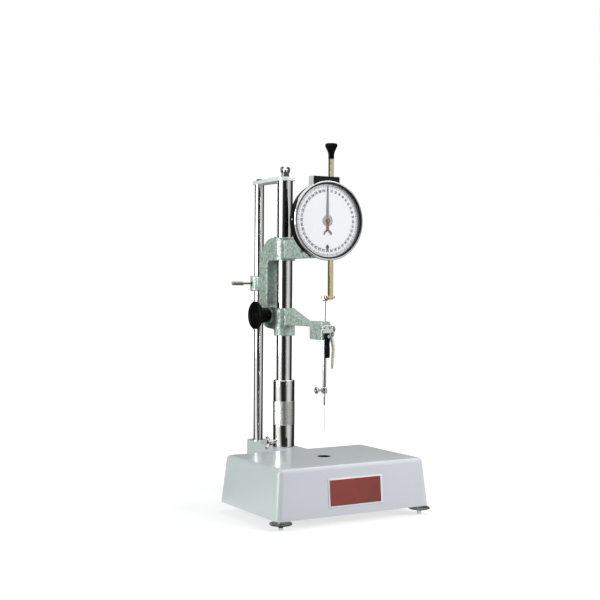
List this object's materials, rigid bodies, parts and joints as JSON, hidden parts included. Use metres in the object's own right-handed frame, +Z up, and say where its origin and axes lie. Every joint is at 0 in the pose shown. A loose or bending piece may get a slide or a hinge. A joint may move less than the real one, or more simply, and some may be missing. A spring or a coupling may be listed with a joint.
{
  "type": "needle penetrometer",
  "caption": "Bench penetrometer: hollow cast base with levelling screws, racked column, geared carriage, round dial gauge and a clutch-released needle plunger.",
  "frame": {"origin": "floor level under the middle of the whole instrument's footprint", "axes": "+Z up the column; -Y to the operator, who faces the dial; +X to the operator's right"},
  "size_m": [0.277, 0.3364, 0.5715],
  "materials": {
    "base_paint": "satin grey enamel",
    "hammertone": "grey-green hammered enamel",
    "bright_chrome": "polished chrome plate",
    "plated_steel": "plated steel",
    "dark_steel": "blackened steel",
    "black_plastic": "gloss black moulding",
    "black_enamel": "black enamel",
    "dial_white": "white dial",
    "pointer_grey": "grey enamel",
    "gauge_brass": "drawn brass",
    "lever_cream": "cream moulding",
    "glass": "clear glass",
    "plate_red": "red enamel with a white border"
  },
  "bodies": {
    "stand": {"base_casting": "base_paint", "name_plate": "plate_red", "column_sleeve": "bright_chrome", "column": "bright_chrome", "guide_rod": "bright_chrome", "top_plate": "bright_chrome", "rod_screw": "plated_steel", "plate_clamp_screw": "plated_steel"},
    "left_foot": {"level_screw_left": "plated_steel", "level_wheel_left": "plated_steel"},
    "right_foot": {"level_screw_right": "plated_steel", "level_wheel_right": "plated_steel"},
    "rear_foot": {"level_screw_rear": "plated_steel", "level_wheel_rear": "plated_steel"},
    "sleeve_screw": {"sleeve_wing_screw": "plated_steel"},
    "top_nut": {"wing_nut": "plated_steel"},
    "carriage": {"carriage_casting": "hammertone", "upper_bush": "gauge_brass", "lower_bush": "gauge_brass", "guide_bush": "gauge_brass", "feed_bush": "gauge_brass", "gauge_case": "black_enamel", "gauge_bezel": "bright_chrome", "dial_glass": "glass", "dial_plate": "dial_white", "arbor_bush": "gauge_brass", "gear_housing": "black_enamel", "gauge_bracket": "black_enamel", "lug_screw_1": "dark_steel", "lug_screw_2": "dark_steel", "upper_rod_guide": "gauge_brass", "lower_rod_guide": "gauge_brass", "upper_plunger_bush": "gauge_brass", "lower_plunger_bush": "gauge_brass", "clutch_plate": "bright_chrome", "clutch_grip": "black_plastic", "clutch_screw_1": "plated_steel", "clutch_screw_2": "plated_steel", "clutch_screw_3": "plated_steel", "lever_pin": "plated_steel", "shoe_gland": "plated_steel", "clutch_spring": "plated_steel"},
    "feed_drive": {"feed_pinion": "plated_steel", "feed_knob": "black_plastic", "knob_screw": "dark_steel"},
    "guide_clamp": {"guide_clamp_screw": "plated_steel"},
    "indicator": {"pointer": "pointer_grey", "pointer_arbor": "gauge_brass"},
    "gauge_plunger": {"gauge_rod": "gauge_brass", "gauge_knob": "black_plastic", "contact_foot": "gauge_brass"},
    "needle_plunger": {"plunger_rod": "plated_steel", "plunger_cap": "plated_steel", "needle_chuck": "bright_chrome", "needle_ferrule": "plated_steel", "needle": "plated_steel"},
    "chuck_thumbscrew": {"chuck_screw": "plated_steel"},
    "release": {"release_lever": "lever_cream"},
    "shoe": {"clutch_shoe": "plated_steel", "shoe_nut": "plated_steel"}
  },
  "joints": [
    {"name": "carriage_slide", "type": "slide", "parent": "stand", "child": "carriage", "axis": [0, 0, 1], "range_m": [-0.068, 0.085]},
    {"name": "feed_knob", "type": "hinge", "parent": "carriage", "child": "feed_drive", "pos_m": [0, 0.07885, 0.302], "axis": [1, 0, 0], "range_deg": [-489, 610]},
    {"name": "guide_clamp", "type": "hinge", "parent": "carriage", "child": "guide_clamp", "pos_m": [-0.03, 0.14975, 0.3543], "axis": [1, 0, 0], "continuous": true},
    {"name": "plunger_slide", "type": "slide", "parent": "carriage", "child": "needle_plunger", "axis": [0, 0, -1], "range_m": [0, 0.027]},
    {"name": "gauge_rod_slide", "type": "slide", "parent": "carriage", "child": "gauge_plunger", "axis": [0, 0, -1], "range_m": [0, 0.027]},
    {"name": "pointer_turn", "type": "hinge", "parent": "carriage", "child": "indicator", "pos_m": [-0.00347, -0.07025, 0.4515], "axis": [0, 1, 0], "range_deg": [-1, 245]},
    {"name": "chuck_thumbscrew", "type": "hinge", "parent": "needle_plunger", "child": "chuck_thumbscrew", "pos_m": [-0.014, -0.06875, 0.1895], "axis": [1, 0, 0], "continuous": true},
    {"name": "release_lever", "type": "hinge", "parent": "carriage", "child": "release", "pos_m": [0.012, -0.06875, 0.276], "axis": [0, 1, 0], "range_deg": [0, 5], "stiffness_Nm_per_rad": 0.4},
    {"name": "clutch_shoe", "type": "slide", "parent": "carriage", "child": "shoe", "axis": [1, 0, 0], "range_m": [0, 0.0008]},
    {"name": "top_wing_nut", "type": "hinge", "parent": "stand", "child": "top_nut", "pos_m": [0, 0.05975, 0.523], "axis": [0, 0, 1], "continuous": true},
    {"name": "sleeve_wing_screw", "type": "hinge", "parent": "stand", "child": "sleeve_screw", "pos_m": [-0.025, 0.05975, 0.095], "axis": [1, 0, 0], "continuous": true},
    {"name": "left_levelling_screw", "type": "hinge", "parent": "stand", "child": "left_foot", "pos_m": [-0.122, -0.15175, 0.01], "axis": [0, 0, 1], "continuous": true},
    {"name": "right_levelling_screw", "type": "hinge", "parent": "stand", "child": "right_foot", "pos_m": [0.122, -0.15175, 0.01], "axis": [0, 0, 1], "continuous": true},
    {"name": "rear_levelling_screw", "type": "hinge", "parent": "stand", "child": "rear_foot", "pos_m": [0, 0.14975, 0.01], "axis": [0, 0, 1], "continuous": true}
  ],
  "couplings": [
    {"joint": "feed_knob", "follows": "carriage_slide", "rad_per_m": 125},
    {"joint": "gauge_rod_slide", "follows": "plunger_slide", "ratio": 1},
    {"joint": "pointer_turn", "follows": "plunger_slide", "rad_per_m": 157.08},
    {"joint": "clutch_shoe", "follows": "release_lever", "m_per_rad": 0.008}
  ]
}
